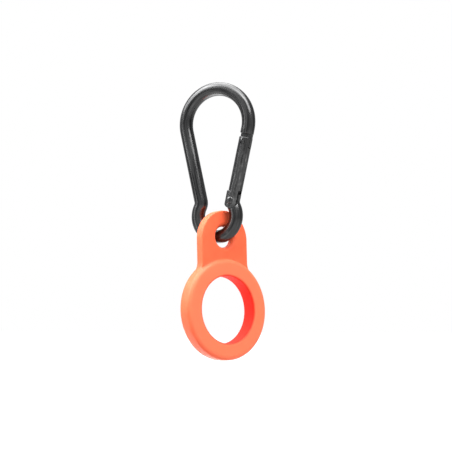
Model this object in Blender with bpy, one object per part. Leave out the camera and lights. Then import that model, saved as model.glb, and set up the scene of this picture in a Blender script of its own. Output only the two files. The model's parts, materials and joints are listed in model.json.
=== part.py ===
"""Bottle holder clip: a pear-shaped snap hook whose round eye carries a moulded silicone ring.

Metres, +Z up. The snap hook lies in the XZ plane with its gate on the +X side. The origin is
the point it hangs from, the inside of the bow at the top.
"""

from math import atan2, cos, pi, radians, sin, sqrt

import bmesh
import bpy
from mathutils import Matrix, Vector

MM = 0.001

# Snap hook: one bent rod
ROD_R = 2.5 * MM
BOW_R = 12.75 * MM  # to the rod's centre line, as every bend radius here
LEG_TILT = radians(12.7)  # each leg leans in towards the eye
EYE_R = 7.7 * MM
HOOK_LENGTH = 60 * MM
NECK_R = 3.5 * MM
BOW_CENTRE_Z = ROD_R - BOW_R
EYE_CENTRE_Z = 2 * ROD_R - HOOK_LENGTH + ROD_R + EYE_R

# Gate, in its own frame: pivot at the origin, +Z along the gate, +X outwards
PIVOT_Z = -39.3 * MM
PIVOT_INSET = 0.35 * MM  # the pivot sits this far inside the rod's centre line
KNUCKLE_R = 2.8 * MM
KNUCKLE_TOP = 3.5 * MM
GATE_TOP = 23.7 * MM
HINGE_SLOT_HALF = 1.5 * MM
HINGE_SLOT_ROOT = 3.9 * MM
BARREL_LOW = 2.7 * MM
NOSE_SLOT_HALF = 1.25 * MM
NOSE_SLOT_ROOT = 19.9 * MM
BORE_R = 1.2 * MM
BORE_END = 13.0 * MM

# Where the bent rod meets the gate
TANG_HALF = 1.2 * MM
TANG_TOP = 2.6 * MM
SHOULDER_R = 3.1 * MM  # round seat that the gate's knuckle turns in
HOOK_END = 25.0 * MM
TONGUE_HALF = 0.95 * MM
TONGUE_END = 20.25 * MM
TONGUE_IN = 1.9 * MM
TONGUE_OUT = 2.25 * MM
PIN_ALONG = 21.8 * MM
PIN_R = 0.75 * MM
NOTCH_R = 1.05 * MM
RIVET_R = 0.8 * MM
RIVET_HEAD_R = 1.3 * MM
RIVET_SEAT = 2.3 * MM
RIVET_REACH = 2.75 * MM
HOLE_PLAY = 0.12 * MM
GAP = 0.3 * MM

# Spring and follower inside the gate
PLUNGER_R = 0.9 * MM
PLUNGER_SHOULDER = 6.6 * MM
PLUNGER_TIP = 7.4 * MM
PLUNGER_TIP_R = 0.42 * MM
COIL_R = 0.8 * MM
COIL_WIRE_R = 0.18 * MM
COIL_TURNS = 6

# Silicone holder, in its own frame: hole centre at the origin, ring below it, flat in XZ
HANG_ANGLE = radians(14.5)  # how far round the eye the holder hangs, from its lowest point
HOLDER_TURN = radians(65)  # the holder's plane, turned from the hook's
HOLDER_PITCH = radians(2)  # its front face looks up this much, since the wire slopes in the hole
HOLE_R = 3.8 * MM
HOLE_DROP = 0.35 * MM  # the hole's centre hangs this far below the rod's
TAB_HALF_WIDTH = 10.75 * MM
TAB_HALF_THICK = 1.75 * MM
TAB_APEX = 9.75 * MM
TAB_EDGE_R = 1.3 * MM
TAB_FILLET_R = 5.0 * MM
RING_DROP = 26.7 * MM
RING_OUTER_R = 18.45 * MM
RING_BORE_R = 12.3 * MM
RING_HALF_THICK = 3.05 * MM
RING_OUTER_EDGE_R = 1.5 * MM
RING_INNER_EDGE_R = 0.6 * MM

ROD_SIDES = 24
RING_STEPS = 72


def clear_scene():
    for obj in list(bpy.data.objects):
        bpy.data.objects.remove(obj, do_unlink=True)


def make_material(name, colour, metallic, roughness):
    material = bpy.data.materials.new(name)
    material.use_nodes = True
    shader = material.node_tree.nodes["Principled BSDF"]
    shader.inputs["Base Color"].default_value = (*colour, 1.0)
    shader.inputs["Metallic"].default_value = metallic
    shader.inputs["Roughness"].default_value = roughness
    return material


def add_object(name, bm, material=None, parent=None):
    """Puts the bmesh in the scene as an object, smooth where its faces nearly agree."""
    bmesh.ops.recalc_face_normals(bm, faces=bm.faces[:])
    mesh = bpy.data.meshes.new(name)
    bm.to_mesh(mesh)
    bm.free()
    mesh.shade_smooth()
    mesh.set_sharp_from_angle(angle=radians(35))
    obj = bpy.data.objects.new(name, mesh)
    bpy.context.scene.collection.objects.link(obj)
    if material:
        mesh.materials.append(material)
    obj.parent = parent
    return obj


def add_empty(name, location, rotation):
    empty = bpy.data.objects.new(name, None)
    empty.location = location
    empty.rotation_euler = rotation
    bpy.context.scene.collection.objects.link(empty)
    return empty


def boolean(target, cutter, operation):
    """Adds a Boolean with a guide object that neither renders nor counts as a part."""
    cutter.hide_render = True
    cutter.display_type = "WIRE"
    modifier = target.modifiers.new(cutter.name, "BOOLEAN")
    modifier.operation = operation
    modifier.object = cutter


def bridge_rings(bm, rings, closed):
    pairs = list(zip(rings, rings[1:]))
    if closed:
        pairs.append((rings[-1], rings[0]))
    for first, second in pairs:
        for i in range(len(first)):
            j = (i + 1) % len(first)
            bm.faces.new((first[i], first[j], second[j], second[i]))
    if not closed:
        bm.faces.new(rings[0])
        bm.faces.new(rings[-1])


def rod_mesh(path, radius, sides):
    """A round rod along the points of a path that lies in the XZ plane, with flat ends."""
    bm = bmesh.new()
    rings = []
    side = Vector((0, 1, 0))
    for i, point in enumerate(path):
        ahead = path[min(i + 1, len(path) - 1)] - point
        behind = point - path[max(i - 1, 0)]
        tangent = (ahead.normalized() + behind.normalized()).normalized()
        across = side.cross(tangent)
        ring = []
        for k in range(sides):
            angle = 2 * pi * k / sides
            ring.append(bm.verts.new(point + radius * (cos(angle) * across + sin(angle) * side)))
        rings.append(ring)
    bridge_rings(bm, rings, closed=False)
    return bm


def lathe_mesh(profile, steps, axis, closed=False):
    """Turns (radius, height) points about Z, then lays that axis along the one asked for.

    A closed profile makes a ring, and an open one gets a flat cap at each end.
    """
    bm = bmesh.new()
    rings = []
    for radius, height in profile:
        ring = []
        for k in range(steps):
            angle = 2 * pi * k / steps
            ring.append(bm.verts.new((radius * cos(angle), radius * sin(angle), height)))
        rings.append(ring)
    bridge_rings(bm, rings, closed)
    if axis == "Y":
        bmesh.ops.rotate(bm, matrix=Matrix.Rotation(-pi / 2, 3, "X"), verts=bm.verts[:])
    return bm


def prism_mesh(outline, low, high):
    """Extrudes an outline of (x, z) points along Y, from low to high."""
    bm = bmesh.new()
    face = bm.faces.new([bm.verts.new((x, low, z)) for x, z in outline])
    extruded = bmesh.ops.extrude_face_region(bm, geom=[face])
    moved = [item for item in extruded["geom"] if isinstance(item, bmesh.types.BMVert)]
    bmesh.ops.translate(bm, vec=(0, high - low, 0), verts=moved)
    return bm


def arc(centre, radius, start, end, step):
    """Points (x, z) on an arc, from one angle to another, both ends included."""
    count = max(2, round(abs(end - start) / step))
    angles = [start + (end - start) * i / count for i in range(count + 1)]
    return [(centre[0] + radius * cos(a), centre[1] + radius * sin(a)) for a in angles]


def move(bm, x=0.0, y=0.0, z=0.0):
    bmesh.ops.translate(bm, vec=(x, y, z), verts=bm.verts[:])
    return bm


def leg_point(height):
    """The (x, z) of the gate-side leg's centre line at a height."""
    tangent_x = BOW_R * cos(LEG_TILT)
    tangent_z = BOW_CENTRE_Z - BOW_R * sin(LEG_TILT)
    return tangent_x - (tangent_z - height) * sin(LEG_TILT) / cos(LEG_TILT), height


def pivot_point():
    x, z = leg_point(PIVOT_Z)
    return x - PIVOT_INSET * cos(LEG_TILT), z + PIVOT_INSET * sin(LEG_TILT)


def on_rod_axis(along):
    """The (x, z) of a point on the gate-side leg's centre line, measured up from the pivot."""
    x, z = pivot_point()
    x += PIVOT_INSET * cos(LEG_TILT) + along * sin(LEG_TILT)
    z += along * cos(LEG_TILT) - PIVOT_INSET * sin(LEG_TILT)
    return x, z


def neck_bend():
    """The neck's bend, which touches the leg's line and the eye's circle.

    Returns its centre, and the angles at which it meets the leg and the eye.
    """
    x, z = leg_point(BOW_CENTRE_Z)
    x += NECK_R * cos(LEG_TILT)
    z -= NECK_R * sin(LEG_TILT)
    down_x, down_z = -sin(LEG_TILT), -cos(LEG_TILT)
    from_eye_z = z - EYE_CENTRE_Z
    half_b = x * down_x + from_eye_z * down_z
    c = x * x + from_eye_z * from_eye_z - (EYE_R + NECK_R) ** 2
    travel = -half_b - sqrt(half_b * half_b - c)
    centre = (x + travel * down_x, z + travel * down_z)
    meets_leg = pi - LEG_TILT
    meets_eye = atan2(EYE_CENTRE_Z - centre[1], -centre[0]) % (2 * pi)
    return centre, meets_leg, meets_eye


def hook_path():
    """The bent rod's centre line, from the nose over the bow, round the eye to the tang."""
    neck, meets_leg, meets_eye = neck_bend()
    right_neck = arc(neck, NECK_R, meets_eye, meets_leg, radians(13))
    left_neck = [(-x, z) for x, z in reversed(right_neck)]
    eye_end = meets_eye - pi
    points = [on_rod_axis(HOOK_END)]
    points += arc((0, BOW_CENTRE_Z), BOW_R, -LEG_TILT, pi + LEG_TILT, radians(8))
    points += left_neck
    points += arc((0, EYE_CENTRE_Z), EYE_R, -pi - eye_end, eye_end, radians(10))[1:-1]
    points += right_neck
    points.append(on_rod_axis(TANG_TOP))
    return [Vector((x, 0, z)) for x, z in points]


def stadium(radius, top):
    """Outline of a slot's shape: a half round about the origin, with straight sides up."""
    return arc((0, 0), radius, -pi, 0, radians(12)) + [(radius, top), (-radius, top)]


def cross_hole(name, radius, parent, x=0.0, z=0.0):
    """A cutter for a hole through the hook or the gate, along Y."""
    reach = 2 * ROD_R
    bm = lathe_mesh([(radius, -reach), (radius, reach)], ROD_SIDES, "Y")
    return add_object(name, move(bm, x=x, z=z), parent=parent)


def make_hook_body(gate_frame, metal):
    body = add_object("carabiner_body", rod_mesh(hook_path(), ROD_R, ROD_SIDES), metal)
    far = 2 * ROD_R
    for name, low, high in (("cheek_front", -far, -TANG_HALF), ("cheek_back", TANG_HALF, far)):
        cheek = prism_mesh(stadium(SHOULDER_R, 2 * TANG_TOP), low, high)
        boolean(body, add_object(name, cheek, parent=gate_frame), "DIFFERENCE")
    boolean(body, cross_hole("tang_hole", RIVET_R + HOLE_PLAY, gate_frame), "DIFFERENCE")
    inner = PIVOT_INSET - TONGUE_IN
    outer = PIVOT_INSET + TONGUE_OUT
    root = HOOK_END + ROD_R
    chamfer = GAP
    outline = [
        (inner + chamfer, TONGUE_END),
        (outer - chamfer, TONGUE_END),
        (outer, TONGUE_END + chamfer),
        (outer, root),
        (inner, root),
        (inner, TONGUE_END + chamfer),
    ]
    tongue = prism_mesh(outline, -TONGUE_HALF, TONGUE_HALF)
    boolean(body, add_object("tongue", tongue, parent=gate_frame), "UNION")
    notch = arc((PIVOT_INSET, PIN_ALONG), NOTCH_R, -pi / 2, pi / 2, radians(15))
    notch += [(inner - far, PIN_ALONG + NOTCH_R), (inner - far, PIN_ALONG - NOTCH_R)]
    notch_cutter = add_object("notch", prism_mesh(notch, -far, far), parent=gate_frame)
    boolean(body, notch_cutter, "DIFFERENCE")
    return body


def knuckle_mesh():
    """The gate's oval lower end, which carries the ears."""
    bevel = GAP
    profile = [
        (KNUCKLE_R, -KNUCKLE_R),
        (KNUCKLE_R, KNUCKLE_TOP - bevel),
        (KNUCKLE_R - bevel, KNUCKLE_TOP),
    ]
    bm = lathe_mesh(profile, ROD_SIDES, "Z")
    bmesh.ops.scale(bm, vec=(1, ROD_R / KNUCKLE_R, 1), verts=bm.verts[:])
    return bm


def make_gate(gate_frame, metal):
    """The gate: ears at the hinge, a long barrel, and a fork that takes the nose."""
    far = 2 * ROD_R
    gate = add_object("gate", knuckle_mesh(), metal, gate_frame)
    end_round = prism_mesh(stadium(KNUCKLE_R, KNUCKLE_TOP), -far, far)
    boolean(gate, add_object("ear_round", end_round, parent=gate_frame), "INTERSECT")
    bevel = GAP
    barrel = [
        (ROD_R, BARREL_LOW),
        (ROD_R, GATE_TOP - bevel),
        (ROD_R - bevel, GATE_TOP),
    ]
    barrel_mesh = move(lathe_mesh(barrel, ROD_SIDES, "Z"), x=PIVOT_INSET)
    boolean(gate, add_object("barrel", barrel_mesh, parent=gate_frame), "UNION")
    slots = (
        ("hinge_slot", HINGE_SLOT_HALF, -far, HINGE_SLOT_ROOT),
        ("nose_slot", NOSE_SLOT_HALF, NOSE_SLOT_ROOT, GATE_TOP + far),
    )
    for name, half, low, high in slots:
        slot = prism_mesh([(-far, low), (far, low), (far, high), (-far, high)], -half, half)
        boolean(gate, add_object(name, slot, parent=gate_frame), "DIFFERENCE")
    bore = lathe_mesh([(BORE_R, HINGE_SLOT_ROOT - ROD_R), (BORE_R, BORE_END)], 16, "Z")
    bore_cutter = add_object("spring_bore", move(bore, x=PIVOT_INSET), parent=gate_frame)
    boolean(gate, bore_cutter, "DIFFERENCE")
    boolean(gate, cross_hole("ear_holes", RIVET_R + HOLE_PLAY, gate_frame), "DIFFERENCE")
    pin_hole = cross_hole("pin_hole", PIN_R + HOLE_PLAY, gate_frame, PIVOT_INSET, PIN_ALONG)
    boolean(gate, pin_hole, "DIFFERENCE")
    seat_r = RIVET_HEAD_R + HOLE_PLAY
    for name, low, high in (("seat_front", -far, -RIVET_SEAT), ("seat_back", RIVET_SEAT, far)):
        seat = lathe_mesh([(seat_r, low), (seat_r, high)], ROD_SIDES, "Y")
        boolean(gate, add_object(name, seat, parent=gate_frame), "DIFFERENCE")
    return gate


def make_rivet(gate_frame, metal):
    """The hinge pin, with a low round head peened on each end."""
    head = RIVET_SEAT + HOLE_PLAY
    half = [
        (RIVET_HEAD_R * 0.45, RIVET_REACH),
        (RIVET_HEAD_R * 0.85, RIVET_REACH - 0.1 * MM),
        (RIVET_HEAD_R, head + 0.08 * MM),
        (RIVET_HEAD_R, head),
        (RIVET_R, head),
    ]
    profile = [(r, -h) for r, h in half] + [(r, h) for r, h in reversed(half)]
    return add_object("hinge_rivet", lathe_mesh(profile, ROD_SIDES, "Y"), metal, gate_frame)


def make_latch_pin(gate_frame, metal):
    """The cross pin in the gate's fork, which the nose's notch closes over."""
    bevel = PIN_R / 5
    end = ROD_R - bevel
    profile = [(PIN_R - bevel, -end), (PIN_R, bevel - end), (PIN_R, end - bevel), (PIN_R - bevel, end)]
    bm = move(lathe_mesh(profile, 16, "Y"), x=PIVOT_INSET, z=PIN_ALONG)
    return add_object("latch_pin", bm, metal, gate_frame)


def make_plunger(gate_frame, metal):
    """The follower that the spring presses onto the tang."""
    low = TANG_TOP + GAP
    bevel = PLUNGER_R / 3
    profile = [
        (PLUNGER_R - bevel, low),
        (PLUNGER_R, low + bevel),
        (PLUNGER_R, PLUNGER_SHOULDER),
        (PLUNGER_TIP_R, PLUNGER_SHOULDER),
        (PLUNGER_TIP_R, PLUNGER_TIP),
    ]
    bm = move(lathe_mesh(profile, 16, "Z"), x=PIVOT_INSET)
    return add_object("spring_plunger", bm, metal, gate_frame)


def make_spring(gate_frame, metal):
    """The coil spring in the gate's bore, between the follower and the end of the bore."""
    low = PLUNGER_SHOULDER + GAP + COIL_WIRE_R
    high = BORE_END - GAP - COIL_WIRE_R
    steps_per_turn = 12
    wire_sides = 6
    bm = bmesh.new()
    rings = []
    pitch = (high - low) / COIL_TURNS
    for i in range(COIL_TURNS * steps_per_turn + 1):
        angle = 2 * pi * i / steps_per_turn
        outward = Vector((cos(angle), sin(angle), 0))
        tangent = Vector((-sin(angle) * COIL_R, cos(angle) * COIL_R, pitch / (2 * pi))).normalized()
        upward = tangent.cross(outward)
        centre = COIL_R * outward + Vector((PIVOT_INSET, 0, low + pitch * i / steps_per_turn))
        ring = []
        for k in range(wire_sides):
            turn = 2 * pi * k / wire_sides
            offset = COIL_WIRE_R * (cos(turn) * outward + sin(turn) * upward)
            ring.append(bm.verts.new(centre + offset))
        rings.append(ring)
    bridge_rings(bm, rings, closed=False)
    return add_object("gate_spring", bm, metal, gate_frame)


def ring_profile():
    """The ring's section: flat faces, a large round outside edge and a small inside one."""
    outer = RING_OUTER_R - RING_OUTER_EDGE_R
    inner = RING_BORE_R + RING_INNER_EDGE_R
    high_outer = RING_HALF_THICK - RING_OUTER_EDGE_R
    high_inner = RING_HALF_THICK - RING_INNER_EDGE_R
    step = radians(22.5)
    profile = arc((outer, high_outer), RING_OUTER_EDGE_R, 0, pi / 2, step)
    profile += arc((inner, high_inner), RING_INNER_EDGE_R, pi / 2, pi, radians(30))
    profile += arc((inner, -high_inner), RING_INNER_EDGE_R, pi, 3 * pi / 2, radians(30))
    profile += arc((outer, -high_outer), RING_OUTER_EDGE_R, -pi / 2, 0, step)
    return profile


def tab_outline():
    """The tab, from its round top down to fillets that touch the ring's rim."""
    top_centre = (0, TAB_APEX - TAB_HALF_WIDTH)
    reach = RING_OUTER_R + TAB_FILLET_R
    fillet_x = TAB_HALF_WIDTH + TAB_FILLET_R
    fillet_z = sqrt(reach * reach - fillet_x * fillet_x)
    rim_angle = atan2(fillet_z, fillet_x)
    half = arc(top_centre, TAB_HALF_WIDTH, pi / 2, 0, radians(10))
    fillet_centre = (fillet_x, fillet_z - RING_DROP)
    half += arc(fillet_centre, TAB_FILLET_R, pi, pi + rim_angle, radians(12))
    inside = (RING_OUTER_R + RING_BORE_R) / 2
    half += arc((0, -RING_DROP), inside, rim_angle, pi / 2, radians(10))
    return half[:-1] + [(-x, z) for x, z in reversed(half)][:-1]


def hole_profile():
    """Cutter for the hole, whose wall is fully rounded through the tab's thickness."""
    round_r = TAB_HALF_THICK
    points = []
    for angle in (-90, -60, -30, 0, 30, 60, 90):
        height = round_r * sin(radians(angle))
        points.append((HOLE_R + round_r * (1 - cos(radians(angle))), height))
    beyond = round_r + GAP
    return [(HOLE_R + round_r, -beyond)] + points + [(HOLE_R + round_r, beyond)]


def make_holder(holder_frame, silicone):
    """The one-piece moulding: a thick ring for the bottle's neck and a flat tab with a hole."""
    ring = lathe_mesh(ring_profile(), RING_STEPS, "Y", closed=True)
    holder = add_object("silicone_holder", move(ring, z=-RING_DROP), silicone, holder_frame)
    tab = add_object("tab", prism_mesh(tab_outline(), -TAB_HALF_THICK, TAB_HALF_THICK))
    tab.parent = holder_frame
    bevel = tab.modifiers.new("edges", "BEVEL")
    bevel.width = TAB_EDGE_R
    bevel.segments = 3
    bevel.angle_limit = radians(60)
    boolean(holder, tab, "UNION")
    hole = lathe_mesh(hole_profile(), 32, "Y")
    boolean(holder, add_object("tab_hole", hole, parent=holder_frame), "DIFFERENCE")
    return holder


def main():
    clear_scene()
    gunmetal = make_material("gunmetal_plated_steel", (0.085, 0.085, 0.09), 1.0, 0.28)
    spring_steel = make_material("spring_steel", (0.42, 0.42, 0.43), 1.0, 0.3)
    silicone = make_material("coral_silicone", (0.9, 0.16, 0.085), 0.0, 0.5)

    pivot_x, pivot_z = pivot_point()
    gate_frame = add_empty("gate_pivot", (pivot_x, 0, pivot_z), (0, LEG_TILT, 0))
    make_hook_body(gate_frame, gunmetal)
    make_gate(gate_frame, gunmetal)
    make_rivet(gate_frame, gunmetal)
    make_latch_pin(gate_frame, gunmetal)
    make_plunger(gate_frame, spring_steel)
    make_spring(gate_frame, spring_steel)

    hang = (EYE_R * sin(HANG_ANGLE), 0, EYE_CENTRE_Z - EYE_R * cos(HANG_ANGLE))
    swing_axis = add_empty("holder_swing", hang, (-HOLDER_PITCH, 0, HOLDER_TURN))
    holder_frame = add_empty("holder_frame", (0, 0, -HOLE_DROP), (0, 0, 0))
    holder_frame.parent = swing_axis
    make_holder(holder_frame, silicone)


main()
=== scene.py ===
"""Looks of the bottle holder clip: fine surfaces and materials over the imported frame.

Metres and +Z up, in the frame's own axes: the snap hook lies in the XZ plane with its gate on +X.
"""

import json
from math import atan2, cos, pi, radians, sin, sqrt

import bmesh
import bpy
import numpy as np
from mathutils import Matrix, Vector


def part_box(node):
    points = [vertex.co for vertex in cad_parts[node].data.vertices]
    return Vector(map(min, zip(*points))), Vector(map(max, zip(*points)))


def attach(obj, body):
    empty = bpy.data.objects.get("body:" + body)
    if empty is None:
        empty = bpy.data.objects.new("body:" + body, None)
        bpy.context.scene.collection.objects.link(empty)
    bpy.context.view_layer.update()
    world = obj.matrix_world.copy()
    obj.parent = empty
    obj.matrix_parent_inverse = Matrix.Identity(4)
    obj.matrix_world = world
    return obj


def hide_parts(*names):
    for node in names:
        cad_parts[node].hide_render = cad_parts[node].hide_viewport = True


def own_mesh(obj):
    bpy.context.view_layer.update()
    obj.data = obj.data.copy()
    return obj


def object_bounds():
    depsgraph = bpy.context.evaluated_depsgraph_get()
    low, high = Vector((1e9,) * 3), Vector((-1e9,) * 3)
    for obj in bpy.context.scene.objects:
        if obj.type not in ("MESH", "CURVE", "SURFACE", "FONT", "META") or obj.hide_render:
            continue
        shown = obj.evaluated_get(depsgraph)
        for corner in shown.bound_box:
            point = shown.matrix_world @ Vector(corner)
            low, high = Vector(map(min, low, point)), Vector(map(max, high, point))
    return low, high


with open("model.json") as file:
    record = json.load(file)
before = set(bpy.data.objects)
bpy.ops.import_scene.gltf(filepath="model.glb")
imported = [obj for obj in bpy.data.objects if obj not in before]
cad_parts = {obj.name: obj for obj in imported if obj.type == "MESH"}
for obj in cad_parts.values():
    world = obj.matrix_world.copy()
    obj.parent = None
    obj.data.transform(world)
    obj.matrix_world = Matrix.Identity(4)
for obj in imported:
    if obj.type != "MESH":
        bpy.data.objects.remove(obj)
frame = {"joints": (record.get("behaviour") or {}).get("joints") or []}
cad_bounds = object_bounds()

MM = 0.001
JOINTS = {joint["name"]: joint for joint in frame["joints"]}

# Snap hook, read from the frame
BODY_LOW, BODY_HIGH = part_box("carabiner_body")
ROD_R = BODY_HIGH.y
BOW_R = BODY_HIGH.x - ROD_R
BOW_CENTRE_Z = ROD_R - BOW_R
PIVOT = Vector(JOINTS["gate_hinge"]["pos_m"])
GATE_DIRECTION = Vector(JOINTS["plunger_slide"]["axis"])
LEG_TILT = atan2(GATE_DIRECTION.x, GATE_DIRECTION.z)
GATE_FRAME = Matrix.Translation(PIVOT) @ Matrix.Rotation(LEG_TILT, 4, "Y")
EYE_R = 7.7 * MM
NECK_R = 3.5 * MM
EYE_CENTRE_Z = BODY_LOW.z + ROD_R + EYE_R

# Gate and latch, in the gate's frame: pivot at the origin, +Z along the gate, +X outwards
PIVOT_INSET = 0.35 * MM
KNUCKLE_R = 2.8 * MM
KNUCKLE_TOP = 3.5 * MM
KNUCKLE_INSET = 0.03 * MM
GATE_TOP = 23.7 * MM
HINGE_SLOT_HALF = 1.5 * MM
HINGE_SLOT_ROOT = 3.9 * MM
BARREL_LOW = 2.7 * MM
NOSE_SLOT_HALF = 1.25 * MM
NOSE_SLOT_ROOT = 19.9 * MM
BORE_R = 1.2 * MM
BORE_END = 13.0 * MM
TANG_HALF = 1.2 * MM
TANG_TOP = 2.6 * MM
SHOULDER_R = 3.1 * MM
HOOK_END = 25.0 * MM
TONGUE_HALF = 0.95 * MM
TONGUE_END = 20.25 * MM
TONGUE_IN = 1.9 * MM
TONGUE_OUT = 2.25 * MM
PIN_ALONG = 21.8 * MM
PIN_R = 0.75 * MM
NOTCH_R = 1.05 * MM
RIVET_R = 0.8 * MM
RIVET_HEAD_R = 1.3 * MM
RIVET_SEAT = 2.3 * MM
RIVET_REACH = 2.75 * MM
HOLE_PLAY = 0.12 * MM
END_EDGE = 0.3 * MM
EDGE_ROUND = 0.14 * MM
NOSE_EDGE_STEPS = [END_EDGE * (1 - cos(radians(a))) for a in (0, 30, 60, 90)]
NOSE_EDGE_RADII = [ROD_R - END_EDGE * (1 - sin(radians(a))) for a in (0, 30, 60, 90)]

# Spring and follower inside the gate
PLUNGER_R = 0.9 * MM
PLUNGER_LOW = 2.9 * MM
PLUNGER_SHOULDER = 6.6 * MM
PLUNGER_TIP = 7.4 * MM
PLUNGER_TIP_R = 0.42 * MM
COIL_R = 0.8 * MM
COIL_WIRE_R = 0.18 * MM
COIL_TURNS = 6
COIL_LOW = 7.08 * MM
COIL_HIGH = 12.52 * MM

# Silicone holder, in its own frame: hole centre at the origin, ring below it, flat in XZ
SWING_POINT = Vector(JOINTS["holder_swing"]["pos_m"])
SWING_AXIS = Vector(JOINTS["holder_swing"]["axis"]).normalized()
HOLE_R = 3.8 * MM
HOLE_DROP = 0.35 * MM
TAB_HALF_WIDTH = 10.75 * MM
TAB_HALF_THICK = 1.75 * MM
TAB_APEX = 9.75 * MM
TAB_EDGE_R = 1.3 * MM
TAB_FILLET_R = 5.0 * MM
RING_DROP = 26.7 * MM
RING_OUTER_R = 18.45 * MM
RING_BORE_R = 12.3 * MM
RING_HALF_THICK = 3.05 * MM
RING_OUTER_EDGE_R = 1.5 * MM
RING_INNER_EDGE_R = 0.6 * MM
SKIN_VOXEL = 0.24 * MM

ROD_SIDES = 64
BEND_STEP = radians(3)

# Camera
CAMERA_AZIMUTH = radians(24.8)
CAMERA_ELEVATION = radians(-4)
CAMERA_LENS = 110
FIELD = 166.5 * MM
AIM_RIGHT = 3.27 * MM
AIM_HEIGHT = -48.4 * MM

# Floor, which gives off light, most of it behind the object
FLOOR_DROP = 14 * MM
FLOOR_HALF_SIZE = 3.0
GLOW_BEHIND = 75 * MM
GLOW_LEFT = 30 * MM
GLOW_REACH = (35 * MM, 85 * MM)
GLOW_LEVEL = 5.0
TABLE_LEVEL = 0.25

# World: brightness all round, in front, to the right and in the darker band, the flag
AROUND_LEVEL = 0.62
FRONT_LEVEL = 0.72
RIGHT_LEVEL = 0.48
FLAG_LEVEL = 0.3
ABOVE_FLAG_LEVEL = 0.7
FLAG_AZIMUTH = radians(-40)


def holder_frame():
    """Hole centre, with +Y opposite to the swing axis and +Z as near up as that allows."""
    back = -SWING_AXIS
    side = back.cross(Vector((0, 0, 1))).normalized()
    up = side.cross(back)
    turn = Matrix((side, back, up)).transposed().to_4x4()
    return Matrix.Translation(SWING_POINT - up * HOLE_DROP) @ turn


# ---------------------------------------------------------------- mesh helpers


def new_object(name, bm, place=None):
    bmesh.ops.recalc_face_normals(bm, faces=bm.faces[:])
    mesh = bpy.data.meshes.new(name)
    bm.to_mesh(mesh)
    bm.free()
    if place:
        mesh.transform(place)
    obj = bpy.data.objects.new(name, mesh)
    bpy.context.scene.collection.objects.link(obj)
    return obj


def bake_modifiers(obj):
    """Replaces the object's mesh with what its modifiers make of it."""
    graph = bpy.context.evaluated_depsgraph_get()
    made = bpy.data.meshes.new_from_object(obj.evaluated_get(graph))
    obj.modifiers.clear()
    obj.data = made


def combine(target, cutter, operation):
    modifier = target.modifiers.new("combine", "BOOLEAN")
    modifier.operation = operation
    modifier.object = cutter
    bake_modifiers(target)
    bpy.data.objects.remove(cutter, do_unlink=True)


def bridge_rings(bm, rings, closed):
    pairs = list(zip(rings, rings[1:]))
    if closed:
        pairs.append((rings[-1], rings[0]))
    for first, second in pairs:
        for i in range(len(first)):
            j = (i + 1) % len(first)
            bm.faces.new((first[i], first[j], second[j], second[i]))
    if not closed:
        bm.faces.new(rings[0])
        bm.faces.new(rings[-1])


def rod_mesh(path, radius, sides, end_radii=()):
    """A round rod along a path in the XZ plane. end_radii narrow its first points."""
    bm = bmesh.new()
    rings = []
    side = Vector((0, 1, 0))
    for i, point in enumerate(path):
        ahead = path[min(i + 1, len(path) - 1)] - point
        behind = point - path[max(i - 1, 0)]
        tangent = (ahead.normalized() + behind.normalized()).normalized()
        across = side.cross(tangent)
        size = end_radii[i] if i < len(end_radii) else radius
        ring = []
        for k in range(sides):
            angle = 2 * pi * k / sides
            ring.append(bm.verts.new(point + size * (cos(angle) * across + sin(angle) * side)))
        rings.append(ring)
    bridge_rings(bm, rings, closed=False)
    return bm


def lathe_mesh(profile, steps, axis, closed=False):
    """Turns (radius, height) points about Z, then lays that axis along the one asked for."""
    bm = bmesh.new()
    rings = []
    for radius, height in profile:
        ring = []
        for k in range(steps):
            angle = 2 * pi * k / steps
            ring.append(bm.verts.new((radius * cos(angle), radius * sin(angle), height)))
        rings.append(ring)
    bridge_rings(bm, rings, closed)
    if axis == "Y":
        bmesh.ops.rotate(bm, matrix=Matrix.Rotation(-pi / 2, 3, "X"), verts=bm.verts[:])
    return bm


def prism_mesh(outline, low, high):
    """Extrudes an outline of (x, z) points along Y, from low to high."""
    bm = bmesh.new()
    face = bm.faces.new([bm.verts.new((x, low, z)) for x, z in outline])
    extruded = bmesh.ops.extrude_face_region(bm, geom=[face])
    moved = [item for item in extruded["geom"] if isinstance(item, bmesh.types.BMVert)]
    bmesh.ops.translate(bm, vec=(0, high - low, 0), verts=moved)
    return bm


def arc(centre, radius, start, end, step):
    count = max(2, round(abs(end - start) / step))
    angles = [start + (end - start) * i / count for i in range(count + 1)]
    return [(centre[0] + radius * cos(a), centre[1] + radius * sin(a)) for a in angles]


def move(bm, x=0.0, y=0.0, z=0.0):
    bmesh.ops.translate(bm, vec=(x, y, z), verts=bm.verts[:])
    return bm


def round_edges(obj, width, segments=2, angle=radians(40)):
    """Rounds every sharp edge, and shades the faces so that flats stay flat."""
    bm = bmesh.new()
    bm.from_mesh(obj.data)
    bmesh.ops.remove_doubles(bm, verts=bm.verts[:], dist=0.01 * MM)
    bmesh.ops.dissolve_degenerate(bm, edges=bm.edges[:], dist=0.01 * MM)
    sharp = [e for e in bm.edges if len(e.link_faces) == 2 and e.calc_face_angle() > angle]
    bmesh.ops.bevel(
        bm,
        geom=sharp,
        offset=width,
        offset_type="OFFSET",
        segments=segments,
        profile=0.5,
        affect="EDGES",
        clamp_overlap=True,
        harden_normals=False,
    )
    bm.to_mesh(obj.data)
    bm.free()
    shade(obj)


def shade(obj):
    obj.data.shade_smooth()
    obj.data.set_sharp_from_angle(angle=radians(38))
    weighted = obj.modifiers.new("flat_faces", "WEIGHTED_NORMAL")
    weighted.keep_sharp = True
    weighted.weight = 80


# ---------------------------------------------------------------- snap hook


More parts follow.
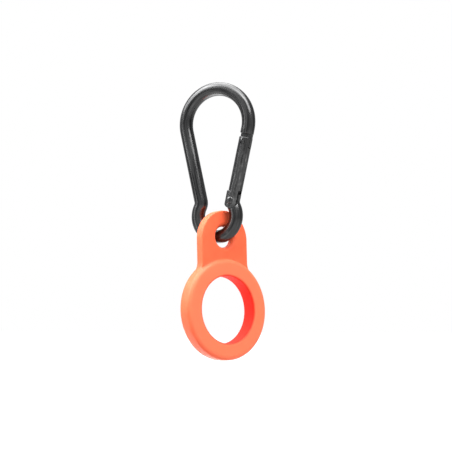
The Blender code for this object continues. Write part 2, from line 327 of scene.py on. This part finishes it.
def leg_point(height):
    """The (x, z) of the gate-side leg's centre line at a height."""
    tangent_x = BOW_R * cos(LEG_TILT)
    tangent_z = BOW_CENTRE_Z - BOW_R * sin(LEG_TILT)
    return tangent_x - (tangent_z - height) * sin(LEG_TILT) / cos(LEG_TILT), height


def on_rod_axis(along):
    """The (x, z) of a point on the gate-side leg's centre line, measured up from the pivot."""
    point = GATE_FRAME @ Vector((PIVOT_INSET, 0, along))
    return point.x, point.z


def neck_bend():
    """The neck's bend, which touches the leg's line and the eye's circle."""
    x, z = leg_point(BOW_CENTRE_Z)
    x += NECK_R * cos(LEG_TILT)
    z -= NECK_R * sin(LEG_TILT)
    down_x, down_z = -sin(LEG_TILT), -cos(LEG_TILT)
    from_eye_z = z - EYE_CENTRE_Z
    half_b = x * down_x + from_eye_z * down_z
    c = x * x + from_eye_z * from_eye_z - (EYE_R + NECK_R) ** 2
    travel = -half_b - sqrt(half_b * half_b - c)
    centre = (x + travel * down_x, z + travel * down_z)
    meets_leg = pi - LEG_TILT
    meets_eye = atan2(EYE_CENTRE_Z - centre[1], -centre[0]) % (2 * pi)
    return centre, meets_leg, meets_eye


def straight(start, end, spacing):
    """Points between two (x, z) points, without the ends."""
    count = max(1, round(sqrt((end[0] - start[0]) ** 2 + (end[1] - start[1]) ** 2) / spacing))
    return [
        (start[0] + (end[0] - start[0]) * i / count, start[1] + (end[1] - start[1]) * i / count)
        for i in range(1, count)
    ]


def hook_path():
    """The bent rod's centre line, from the nose over the bow, round the eye to the tang."""
    neck, meets_leg, meets_eye = neck_bend()
    right_neck = arc(neck, NECK_R, meets_eye, meets_leg, BEND_STEP)
    left_neck = [(-x, z) for x, z in reversed(right_neck)]
    eye_end = meets_eye - pi
    bow = arc((0, BOW_CENTRE_Z), BOW_R, -LEG_TILT, pi + LEG_TILT, BEND_STEP)
    points = [on_rod_axis(HOOK_END + edge) for edge in NOSE_EDGE_STEPS]
    points += bow
    points += straight(bow[-1], left_neck[0], ROD_R / 2)
    points += left_neck
    points += arc((0, EYE_CENTRE_Z), EYE_R, -pi - eye_end, eye_end, BEND_STEP)[1:-1]
    points += right_neck
    points.append(on_rod_axis(TANG_TOP))
    return [Vector((x, 0, z)) for x, z in points]


def stadium(radius, top):
    return arc((0, 0), radius, -pi, 0, radians(5)) + [(radius, top), (-radius, top)]


def cross_hole(name, radius, x=0.0, z=0.0):
    reach = 2 * ROD_R
    bm = lathe_mesh([(radius, -reach), (radius, reach)], 40, "Y")
    return new_object(name, move(bm, x=x, z=z), GATE_FRAME)


def rounded_box(name, x_low, x_high, z_low, z_high, half_y, radius):
    """A block with rounded edges, in the gate's frame."""
    outline = [(x_low, z_low), (x_high, z_low), (x_high, z_high), (x_low, z_high)]
    obj = new_object(name, prism_mesh(outline, -half_y, half_y), GATE_FRAME)
    bevel = obj.modifiers.new("edges", "BEVEL")
    bevel.width = radius
    bevel.segments = 3
    bake_modifiers(obj)
    return obj


def make_hook_body():
    body = new_object(
        "hook_body_skin", rod_mesh(hook_path(), ROD_R, ROD_SIDES, NOSE_EDGE_RADII)
    )
    far = 2 * ROD_R
    for low, high in ((-far, -TANG_HALF), (TANG_HALF, far)):
        cheek = prism_mesh(stadium(SHOULDER_R, 2 * TANG_TOP), low, high)
        combine(body, new_object("cheek", cheek, GATE_FRAME), "DIFFERENCE")
    combine(body, cross_hole("tang_hole", RIVET_R + HOLE_PLAY), "DIFFERENCE")
    inner = PIVOT_INSET - TONGUE_IN
    outer = PIVOT_INSET + TONGUE_OUT
    tongue = rounded_box(
        "tongue", inner, outer, TONGUE_END, HOOK_END + ROD_R, TONGUE_HALF, END_EDGE / 2
    )
    combine(body, tongue, "UNION")
    notch = arc((PIVOT_INSET, PIN_ALONG), NOTCH_R, -pi / 2, pi / 2, radians(7))
    notch += [(inner - far, PIN_ALONG + NOTCH_R), (inner - far, PIN_ALONG - NOTCH_R)]
    combine(body, new_object("notch", prism_mesh(notch, -far, far), GATE_FRAME), "DIFFERENCE")
    round_edges(body, EDGE_ROUND)
    return body


def end_round_mesh(reach):
    """Keeps a half round below the pivot, and everything above it."""
    below = arc((0, 0), KNUCKLE_R + KNUCKLE_INSET, -pi, 0, radians(5))
    clear = KNUCKLE_R + END_EDGE
    above = [(clear, 0), (clear, 2 * KNUCKLE_TOP), (-clear, 2 * KNUCKLE_TOP), (-clear, 0)]
    return prism_mesh(below + above, -reach, reach)


def make_gate():
    far = 2 * ROD_R
    profile = [
        (KNUCKLE_R, -KNUCKLE_R - END_EDGE),
        (KNUCKLE_R, KNUCKLE_TOP - END_EDGE),
        (KNUCKLE_R - END_EDGE, KNUCKLE_TOP),
    ]
    knuckle = lathe_mesh(profile, ROD_SIDES, "Z")
    narrowing = (ROD_R - KNUCKLE_INSET) / KNUCKLE_R
    bmesh.ops.scale(knuckle, vec=(1, narrowing, 1), verts=knuckle.verts[:])
    gate = new_object("gate_skin", knuckle, GATE_FRAME)
    combine(gate, new_object("ear_round", end_round_mesh(far), GATE_FRAME), "INTERSECT")
    barrel = [(ROD_R, BARREL_LOW)]
    barrel += arc((ROD_R - END_EDGE, GATE_TOP - END_EDGE), END_EDGE, 0, pi / 2, radians(30))
    barrel_mesh = move(lathe_mesh(barrel, ROD_SIDES, "Z"), x=PIVOT_INSET)
    combine(gate, new_object("barrel", barrel_mesh, GATE_FRAME), "UNION")
    slots = (
        (HINGE_SLOT_HALF, -far, HINGE_SLOT_ROOT),
        (NOSE_SLOT_HALF, NOSE_SLOT_ROOT, GATE_TOP + far),
    )
    for half, low, high in slots:
        slot = prism_mesh([(-far, low), (far, low), (far, high), (-far, high)], -half, half)
        combine(gate, new_object("slot", slot, GATE_FRAME), "DIFFERENCE")
    bore = lathe_mesh([(BORE_R, HINGE_SLOT_ROOT - ROD_R), (BORE_R, BORE_END)], 40, "Z")
    combine(gate, new_object("bore", move(bore, x=PIVOT_INSET), GATE_FRAME), "DIFFERENCE")
    combine(gate, cross_hole("ear_holes", RIVET_R + HOLE_PLAY), "DIFFERENCE")
    pin_hole = cross_hole("pin_hole", PIN_R + HOLE_PLAY, PIVOT_INSET, PIN_ALONG)
    combine(gate, pin_hole, "DIFFERENCE")
    seat_r = RIVET_HEAD_R + HOLE_PLAY
    for low, high in ((-far, -RIVET_SEAT), (RIVET_SEAT, far)):
        seat = lathe_mesh([(seat_r, low), (seat_r, high)], 40, "Y")
        combine(gate, new_object("seat", seat, GATE_FRAME), "DIFFERENCE")
    round_edges(gate, EDGE_ROUND)
    return gate


def make_rivet():
    head = RIVET_SEAT + HOLE_PLAY
    dome = [
        (RIVET_HEAD_R * sin(radians(a)), head + (RIVET_REACH - head) * cos(radians(a)))
        for a in (12, 30, 48, 66, 84, 90)
    ]
    half = dome + [(RIVET_HEAD_R, head), (RIVET_R, head)]
    profile = [(r, -h) for r, h in half] + [(r, h) for r, h in reversed(half)]
    rivet = new_object("hinge_rivet_skin", lathe_mesh(profile, 48, "Y"), GATE_FRAME)
    shade(rivet)
    return rivet


def make_latch_pin():
    edge = PIN_R / 5
    end = ROD_R - edge
    corner = arc((PIN_R - edge, end - edge), edge, 0, pi / 2, radians(30))
    profile = [(r, -h) for r, h in reversed(corner)] + corner
    bm = move(lathe_mesh(profile, 40, "Y"), x=PIVOT_INSET, z=PIN_ALONG)
    pin = new_object("latch_pin_skin", bm, GATE_FRAME)
    shade(pin)
    return pin


def make_plunger():
    edge = PLUNGER_R / 3
    profile = arc((PLUNGER_R - edge, PLUNGER_LOW + edge), edge, -pi / 2, 0, radians(22.5))
    profile += [
        (PLUNGER_R, PLUNGER_SHOULDER - edge / 3),
        (PLUNGER_R - edge / 3, PLUNGER_SHOULDER),
        (PLUNGER_TIP_R, PLUNGER_SHOULDER),
        (PLUNGER_TIP_R, PLUNGER_TIP - edge / 3),
        (PLUNGER_TIP_R - edge / 3, PLUNGER_TIP),
    ]
    bm = move(lathe_mesh(profile, 40, "Z"), x=PIVOT_INSET)
    plunger = new_object("plunger_skin", bm, GATE_FRAME)
    shade(plunger)
    return plunger


def make_spring():
    """The coil spring: one wire wound evenly from end to end."""
    steps_per_turn = 32
    wire_sides = 12
    steps = COIL_TURNS * steps_per_turn
    bm = bmesh.new()
    rings = []
    rise = COIL_HIGH - COIL_LOW
    for i in range(steps + 1):
        share = i / steps
        angle = 2 * pi * i / steps_per_turn
        outward = Vector((cos(angle), sin(angle), 0))
        slope = rise / (2 * pi * COIL_TURNS)
        tangent = Vector((-sin(angle) * COIL_R, cos(angle) * COIL_R, slope)).normalized()
        upward = tangent.cross(outward)
        centre = COIL_R * outward + Vector((PIVOT_INSET, 0, COIL_LOW + rise * share))
        ring = []
        for k in range(wire_sides):
            turn = 2 * pi * k / wire_sides
            offset = COIL_WIRE_R * (cos(turn) * outward + sin(turn) * upward)
            ring.append(bm.verts.new(centre + offset))
        rings.append(ring)
    bridge_rings(bm, rings, closed=False)
    spring = new_object("gate_spring_skin", bm, GATE_FRAME)
    shade(spring)
    return spring


# ---------------------------------------------------------------- silicone holder


def ring_profile():
    """The ring's section: flat faces, a large round outside edge and a small inside one."""
    outer = RING_OUTER_R - RING_OUTER_EDGE_R
    inner = RING_BORE_R + RING_INNER_EDGE_R
    high_outer = RING_HALF_THICK - RING_OUTER_EDGE_R
    high_inner = RING_HALF_THICK - RING_INNER_EDGE_R
    step = radians(9)
    profile = arc((outer, high_outer), RING_OUTER_EDGE_R, 0, pi / 2, step)
    profile += arc((inner, high_inner), RING_INNER_EDGE_R, pi / 2, pi, step)
    profile += arc((inner, -high_inner), RING_INNER_EDGE_R, pi, 3 * pi / 2, step)
    profile += arc((outer, -high_outer), RING_OUTER_EDGE_R, -pi / 2, 0, step)
    return profile


def tab_outline():
    """The tab, from its round top down to fillets that touch the ring's rim."""
    top_centre = (0, TAB_APEX - TAB_HALF_WIDTH)
    reach = RING_OUTER_R + TAB_FILLET_R
    fillet_x = TAB_HALF_WIDTH + TAB_FILLET_R
    fillet_z = sqrt(reach * reach - fillet_x * fillet_x)
    rim_angle = atan2(fillet_z, fillet_x)
    half = arc(top_centre, TAB_HALF_WIDTH, pi / 2, 0, radians(3))
    fillet_centre = (fillet_x, fillet_z - RING_DROP)
    half += arc(fillet_centre, TAB_FILLET_R, pi, pi + rim_angle, radians(4))
    inside = (RING_OUTER_R + RING_BORE_R) / 2
    half += arc((0, -RING_DROP), inside, rim_angle, pi / 2, radians(3))
    return half[:-1] + [(-x, z) for x, z in reversed(half)][:-1]


def hole_profile():
    """Cutter for the hole, whose wall is fully rounded through the tab's thickness."""
    round_r = TAB_HALF_THICK
    points = []
    for angle in range(-90, 91, 10):
        height = round_r * sin(radians(angle))
        points.append((HOLE_R + round_r * (1 - cos(radians(angle))), height))
    beyond = round_r + END_EDGE
    return [(HOLE_R + round_r, -beyond)] + points + [(HOLE_R + round_r, beyond)]


def make_holder():
    """The moulding: its solids are joined, re-skinned evenly and relaxed so the creases flow."""
    ring = move(lathe_mesh(ring_profile(), 240, "Y", True), z=-RING_DROP)
    holder = new_object("silicone_holder_skin", ring)
    tab = new_object("tab", prism_mesh(tab_outline(), -TAB_HALF_THICK, TAB_HALF_THICK))
    bevel = tab.modifiers.new("edges", "BEVEL")
    bevel.width = TAB_EDGE_R
    bevel.segments = 8
    bevel.angle_limit = radians(60)
    bake_modifiers(tab)
    combine(holder, tab, "UNION")
    hole = new_object("hole", lathe_mesh(hole_profile(), 96, "Y"))
    combine(holder, hole, "DIFFERENCE")
    remesh = holder.modifiers.new("skin", "REMESH")
    remesh.mode = "VOXEL"
    remesh.voxel_size = SKIN_VOXEL
    relax = holder.modifiers.new("relax", "SMOOTH")
    relax.factor = 0.5
    relax.iterations = 8
    bake_modifiers(holder)
    store_vectors(holder, "moulding", lambda points: points / MM)
    holder.data.transform(holder_frame())
    holder.data.shade_smooth()
    return holder


# ---------------------------------------------------------------- surface coordinates


def store_vectors(obj, name, rule):
    """Stores rule(points) on the mesh as a vector for each vertex, for its material to read."""
    mesh = obj.data
    points = np.empty(len(mesh.vertices) * 3, np.float32)
    mesh.vertices.foreach_get("co", points)
    values = rule(points.reshape(-1, 3).astype(np.float64))
    attribute = mesh.attributes.new(name, "FLOAT_VECTOR", "POINT")
    attribute.data.foreach_set("vector", values.astype(np.float32).ravel())


def along_gate(points):
    """Millimetres round, across and along the gate's own axis."""
    local = np.array(GATE_FRAME.inverted())
    seen = points @ local[:3, :3].T + local[:3, 3]
    angle = np.arctan2(seen[:, 1], seen[:, 0] - PIVOT_INSET)
    return np.stack([np.cos(angle) * ROD_R, np.sin(angle) * ROD_R, seen[:, 2]], axis=1) / MM


def along_rod(points):
    """Millimetres round and along the bent rod, from its nearest centre-line point."""
    path = np.array(hook_path())
    steps = np.linalg.norm(np.diff(path, axis=0), axis=1)
    travelled = np.concatenate([[0], np.cumsum(steps)])
    starts, spans = path[:-1], np.diff(path, axis=0)
    best = np.full(len(points), 1e9)
    found = np.zeros((len(points), 3))
    for i in range(len(spans)):
        share = np.clip(((points - starts[i]) @ spans[i]) / steps[i] ** 2, 0, 1)
        nearest = starts[i] + share[:, None] * spans[i]
        offset = points - nearest
        distance = np.linalg.norm(offset, axis=1)
        closer = distance < best
        across = np.array((spans[i][2], 0, -spans[i][0])) / steps[i]
        angle = np.arctan2(offset[:, 1], offset @ across)
        here = np.stack(
            [np.cos(angle) * ROD_R, np.sin(angle) * ROD_R, travelled[i] + share * steps[i]], axis=1
        )
        found[closer] = here[closer]
        best[closer] = distance[closer]
    return found / MM


# ---------------------------------------------------------------- materials


class Nodes:
    """Short calls for building the nodes of a material or of the world."""

    def __init__(self, owner):
        owner.use_nodes = True
        self.owner = owner
        self.tree = owner.node_tree
        self.shader = self.tree.nodes.get("Principled BSDF")

    def add(self, kind, inputs=(), **settings):
        node = self.tree.nodes.new(kind)
        for key, value in settings.items():
            setattr(node, key, value)
        for key, value in dict(inputs).items():
            self.feed(node.inputs[key], value)
        return node

    def feed(self, socket, value):
        if isinstance(value, bpy.types.NodeSocket):
            self.tree.links.new(value, socket)
        else:
            socket.default_value = value

    def attribute(self, name):
        return self.add("ShaderNodeAttribute", attribute_name=name).outputs["Vector"]

    def scaled(self, vector, scale):
        node = self.add("ShaderNodeVectorMath", {0: vector, 1: scale}, operation="MULTIPLY")
        return node.outputs["Vector"]

    def noise(self, vector, scale, detail=3.0, roughness=0.5):
        inputs = {"Vector": vector, "Scale": scale, "Detail": detail, "Roughness": roughness}
        return self.add("ShaderNodeTexNoise", inputs).outputs["Fac"]

    def math(self, operation, a, b=0.0, clamp=False):
        node = self.add("ShaderNodeMath", {0: a, 1: b}, operation=operation, use_clamp=clamp)
        return node.outputs["Value"]

    def remap(self, value, low, high, to_low, to_high):
        inputs = {0: value, 1: low, 2: high, 3: to_low, 4: to_high}
        return self.add("ShaderNodeMapRange", inputs).outputs["Result"]

    def mix(self, share, a, b):
        node = self.add("ShaderNodeMix", {"Factor": share}, data_type="RGBA")
        self.feed(node.inputs[6], a)
        self.feed(node.inputs[7], b)
        return node.outputs[2]

    def bump(self, height, strength, distance, below=None):
        inputs = {"Height": height, "Strength": strength, "Distance": distance}
        node = self.add("ShaderNodeBump", inputs)
        if below is not None:
            self.feed(node.inputs["Normal"], below)
        return node.outputs["Normal"]

    def set(self, **values):
        for key, value in values.items():
            self.feed(self.shader.inputs[key.replace("_", " ")], value)


def gunmetal():
    """Dark nickel plating over drawn rod: fine lines along it, faint smudges, brighter edges."""
    n = Nodes(bpy.data.materials.new("gunmetal_plating"))
    rod = n.attribute("rod")
    lines = n.noise(n.scaled(rod, (1.5, 1.5, 0.06)), 1.0, detail=5.0, roughness=0.65)
    fine_lines = n.noise(n.scaled(rod, (7.0, 7.0, 0.3)), 1.0, detail=3.0)
    smudges = n.noise(rod, 0.2, detail=4.0, roughness=0.6)
    pits = n.noise(rod, 3.2, detail=2.0)
    edge = n.add("ShaderNodeNewGeometry").outputs["Pointiness"]
    worn = n.remap(edge, 0.53, 0.62, 0.0, 1.0)
    scuffs = n.remap(n.noise(n.scaled(rod, (1.2, 1.2, 0.5)), 1.0, detail=5.0), 0.5, 0.7, 0.2, 1.0)
    wear = n.math("MULTIPLY", worn, scuffs, clamp=True)
    dark, light = (0.024, 0.024, 0.025, 1), (0.125, 0.125, 0.125, 1)
    tone = n.mix(n.remap(lines, 0.36, 0.64, 0.0, 1.0), dark, light)
    tone = n.mix(n.remap(smudges, 0.4, 0.7, 0.0, 0.5), tone, (0.055, 0.056, 0.056, 1))
    tone = n.mix(wear, tone, (0.26, 0.26, 0.258, 1))
    rough = n.remap(lines, 0.3, 0.7, 0.17, 0.25)
    rough = n.math("ADD", rough, n.remap(smudges, 0.4, 0.75, 0.0, 0.08))
    normal = n.bump(lines, 0.4, 0.04 * MM)
    normal = n.bump(fine_lines, 0.2, 0.008 * MM, normal)
    normal = n.bump(pits, 0.08, 0.01 * MM, normal)
    n.set(Base_Color=tone, Metallic=1.0, Roughness=rough, Normal=normal)
    return n.owner


def spring_steel():
    """Plain drawn wire: bright, with fine lines and faint oil stains."""
    n = Nodes(bpy.data.materials.new("drawn_spring_steel"))
    place = n.add("ShaderNodeTexCoord").outputs["Object"]
    stains = n.noise(place, 900.0, detail=3.0)
    grain = n.noise(place, 6000.0, detail=2.0)
    tone = n.mix(n.remap(stains, 0.4, 0.7, 0.0, 1.0), (0.42, 0.42, 0.43, 1), (0.27, 0.25, 0.22, 1))
    n.set(
        Base_Color=tone,
        Metallic=1.0,
        Roughness=n.remap(stains, 0.3, 0.7, 0.22, 0.42),
        Normal=n.bump(grain, 0.15, 0.01 * MM),
    )
    return n.owner


def silicone():
    """Moulded silicone rubber: satin, mottled and grained, with painted light making the ring's
    faces paler and painted shade making its bore a deep red.
    """
    n = Nodes(bpy.data.materials.new("coral_silicone"))
    mould = n.attribute("moulding")
    mottle = n.noise(mould, 0.22, detail=3.0)
    cloud = n.noise(mould, 0.06, detail=2.0)
    grain = n.noise(mould, 7.0, detail=3.0, roughness=0.6)
    waves = n.noise(mould, 0.45, detail=2.0)
    deep, light = (0.86, 0.118, 0.045, 1), (0.9, 0.142, 0.056, 1)
    tone = n.mix(n.remap(mottle, 0.3, 0.7, 0.0, 1.0), deep, light)
    tone = n.mix(n.remap(cloud, 0.4, 0.7, 0.0, 0.5), tone, (0.84, 0.1, 0.038, 1))
    depth = n.add("ShaderNodeSeparateXYZ", {"Vector": mould}).outputs["Y"]
    from_line = n.math("ABSOLUTE", depth)
    # Painted light: the ring's flat faces are painted a paler orange, as if lit more than the tab.
    ring_face_painted_light = n.remap(from_line, RING_HALF_THICK / MM - 0.9, RING_HALF_THICK / MM - 0.1, 0.0, 1.0)
    tone = n.mix(ring_face_painted_light, tone, (0.94, 0.168, 0.076, 1))
    # Painted shade: the bore wall is painted a deep dark red, as if shaded inside the ring; the same
    # mask also makes the bore matt.
    from_ring = n.add("ShaderNodeVectorMath", {0: mould, 1: (0, 0, RING_DROP / MM)})
    across = n.scaled(from_ring.outputs["Vector"], (1, 0, 1))
    radius = n.add("ShaderNodeVectorMath", {0: across}, operation="LENGTH").outputs["Value"]
    bore = n.remap(radius, RING_BORE_R / MM + 0.75, RING_BORE_R / MM + 0.05, 0.0, 1.0)
    tone = n.mix(bore, tone, (0.7, 0.012, 0.003, 1))
    parting = n.remap(from_line, 0.0, 0.12, 1.0, 0.0)
    normal = n.bump(waves, 0.1, 0.06 * MM)
    normal = n.bump(grain, 0.22, 0.012 * MM, normal)
    normal = n.bump(parting, 0.5, 0.03 * MM, normal)
    satin = n.remap(mottle, 0.3, 0.7, 0.42, 0.54)
    matt_bore = n.math("MULTIPLY", bore, 0.9)
    n.set(
        Base_Color=tone,
        Roughness=n.math("MAXIMUM", satin, matt_bore),
        Normal=normal,
        Subsurface_Weight=0.12,
        Subsurface_Scale=0.0012,
        Sheen_Weight=0.04,
        Sheen_Roughness=0.5,
    )
    n.shader.inputs["Subsurface Radius"].default_value = (1.0, 0.25, 0.12)
    n.shader.inputs["IOR"].default_value = 1.41
    n.shader.inputs["Specular IOR Level"].default_value = 0.3
    return n.owner


def pale_floor():
    """A light table: white to the camera, brightest behind the object, dimmer further out."""
    n = Nodes(bpy.data.materials.new("pale_floor"))
    place = n.add("ShaderNodeTexCoord").outputs["Object"]
    tone = n.mix(n.noise(place, 3.0), (0.19, 0.19, 0.19, 1), (0.21, 0.21, 0.21, 1))
    right, _, back = camera_axes()
    offset = back * GLOW_BEHIND + right * GLOW_LEFT
    from_middle = n.add("ShaderNodeVectorMath", {0: place, 1: tuple(offset)}).outputs["Vector"]
    from_middle = n.scaled(from_middle, (1, 1, 0))
    away = n.add("ShaderNodeVectorMath", {0: from_middle}, operation="LENGTH").outputs["Value"]
    glow = n.remap(away, *GLOW_REACH, GLOW_LEVEL, TABLE_LEVEL)
    seen = n.add("ShaderNodeLightPath").outputs["Is Camera Ray"]
    strength = n.math("MAXIMUM", glow, seen)
    n.set(Base_Color=tone, Roughness=0.9, Emission_Strength=strength)
    n.shader.inputs["Emission Color"].default_value = (1, 1, 1, 1)
    return n.owner


# ---------------------------------------------------------------- assembly


def dress(piece, material, body, node):
    piece.data.materials.clear()
    piece.data.materials.append(material)
    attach(piece, body)
    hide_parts(node)


def compress(spring):
    """Gives the spring a mesh of its own."""
    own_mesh(spring)


def make_object():
    plating = gunmetal()
    steel = spring_steel()
    body = make_hook_body()
    store_vectors(body, "rod", along_rod)
    dress(body, plating, "hook", "carabiner_body")
    for piece, node in (
        (make_gate(), "gate"),
        (make_rivet(), "hinge_rivet"),
        (make_latch_pin(), "latch_pin"),
    ):
        store_vectors(piece, "rod", along_gate)
        dress(piece, plating, "gate", node)
    spring = make_spring()
    dress(spring, steel, "gate", "gate_spring")
    compress(spring)
    plunger = make_plunger()
    dress(plunger, steel, "plunger", "spring_plunger")
    holder = make_holder()
    dress(holder, silicone(), "holder", "silicone_holder")


def make_floor():
    bm = bmesh.new()
    bmesh.ops.create_grid(bm, x_segments=8, y_segments=8, size=FLOOR_HALF_SIZE)
    floor = new_object("floor", bm, Matrix.Translation((0, 0, cad_bounds[0].z - FLOOR_DROP)))
    floor.data.materials.append(pale_floor())


def camera_axes():
    """The camera's right, up and backward directions."""
    back = Vector((sin(CAMERA_AZIMUTH), -cos(CAMERA_AZIMUTH), 0)) * cos(CAMERA_ELEVATION)
    back.z = sin(CAMERA_ELEVATION)
    right = Vector((cos(CAMERA_AZIMUTH), sin(CAMERA_AZIMUTH), 0))
    return right, back.cross(right), back


def make_camera():
    right, _, back = camera_axes()
    data = bpy.data.cameras.new("camera")
    data.lens = CAMERA_LENS
    data.clip_start = 0.01
    distance = FIELD * CAMERA_LENS / data.sensor_width
    camera = bpy.data.objects.new("camera", data)
    camera.location = right * AIM_RIGHT + Vector((0, 0, AIM_HEIGHT)) + back * distance
    camera.rotation_mode = "QUATERNION"
    camera.rotation_quaternion = back.to_track_quat("Z", "Y")
    bpy.context.scene.collection.objects.link(camera)
    bpy.context.scene.camera = camera


def add_light(name, across, height, towards, size_x, size_y, power):
    """A soft area light aimed at the object's middle, placed from there as the camera sees it."""
    right, _, back = camera_axes()
    centre = Vector((0, 0, (cad_bounds[0].z + cad_bounds[1].z) / 2))
    data = bpy.data.lights.new(name, "AREA")
    data.shape = "RECTANGLE"
    data.size = size_x
    data.size_y = size_y
    data.energy = power
    light = bpy.data.objects.new(name, data)
    light.location = centre + right * across + Vector((0, 0, height)) + back * towards
    light.rotation_mode = "QUATERNION"
    light.rotation_quaternion = (light.location - centre).to_track_quat("Z", "Y")
    bpy.context.scene.collection.objects.link(light)


def make_world():
    """White to the camera. To the object, soft grey: darker in front, at right and in a flag."""
    right, _, back = camera_axes()
    n = Nodes(bpy.data.worlds.new("studio"))
    bpy.context.scene.world = n.owner
    direction = n.add("ShaderNodeTexCoord").outputs["Generated"]

    def along(axis):
        inputs = {0: direction, 1: tuple(axis)}
        return n.add("ShaderNodeVectorMath", inputs, operation="DOT_PRODUCT").outputs["Value"]

    turn = n.math("ARCTAN2", along(right), along((back.x, back.y, 0)))
    from_flag = n.math("ABSOLUTE", n.math("SUBTRACT", turn, FLAG_AZIMUTH))
    rise = along((0, 0, 1))
    flag = n.remap(rise, -0.02, 0.08, FLAG_LEVEL, ABOVE_FLAG_LEVEL)
    level = n.remap(from_flag, radians(8), radians(20), flag, AROUND_LEVEL)
    from_front = n.math("ABSOLUTE", turn)
    front = n.remap(from_front, radians(10), radians(45), FRONT_LEVEL, 1.0)
    level = n.math("MINIMUM", level, front)
    to_right = n.remap(turn, radians(40), radians(80), 1.0, RIGHT_LEVEL)
    level = n.math("MINIMUM", level, to_right)
    height = n.math("ABSOLUTE", rise)
    level = n.math("MAXIMUM", level, n.remap(height, 0.35, 0.75, 0.0, AROUND_LEVEL))
    around = n.tree.nodes["Background"]
    around.inputs["Color"].default_value = (0.98, 0.99, 1.0, 1)
    n.feed(around.inputs["Strength"], level)
    seen = n.add("ShaderNodeBackground", {"Color": (1, 1, 1, 1), "Strength": 1.0})
    camera_ray = n.add("ShaderNodeLightPath").outputs["Is Camera Ray"]
    mixed = n.add("ShaderNodeMixShader", {0: camera_ray})
    n.feed(mixed.inputs[1], around.outputs[0])
    n.feed(mixed.inputs[2], seen.outputs[0])
    n.feed(n.tree.nodes["World Output"].inputs["Surface"], mixed.outputs[0])


def make_lights():
    add_light("overhead", -0.04, 0.62, 0.02, 1.00, 0.70, 15.0)
    add_light("top_left", -0.46, 0.40, 0.08, 0.40, 0.40, 5.5)
    add_light("top_right", 0.27, 0.42, 0.34, 0.30, 0.30, 1.8)
    add_light("left_strip", -0.55, 0.0, 0.17, 0.07, 0.80, 0.45)


def main():
    bpy.context.scene.view_settings.view_transform = "Standard"
    make_object()
    make_floor()
    make_camera()
    make_world()
    make_lights()


main()
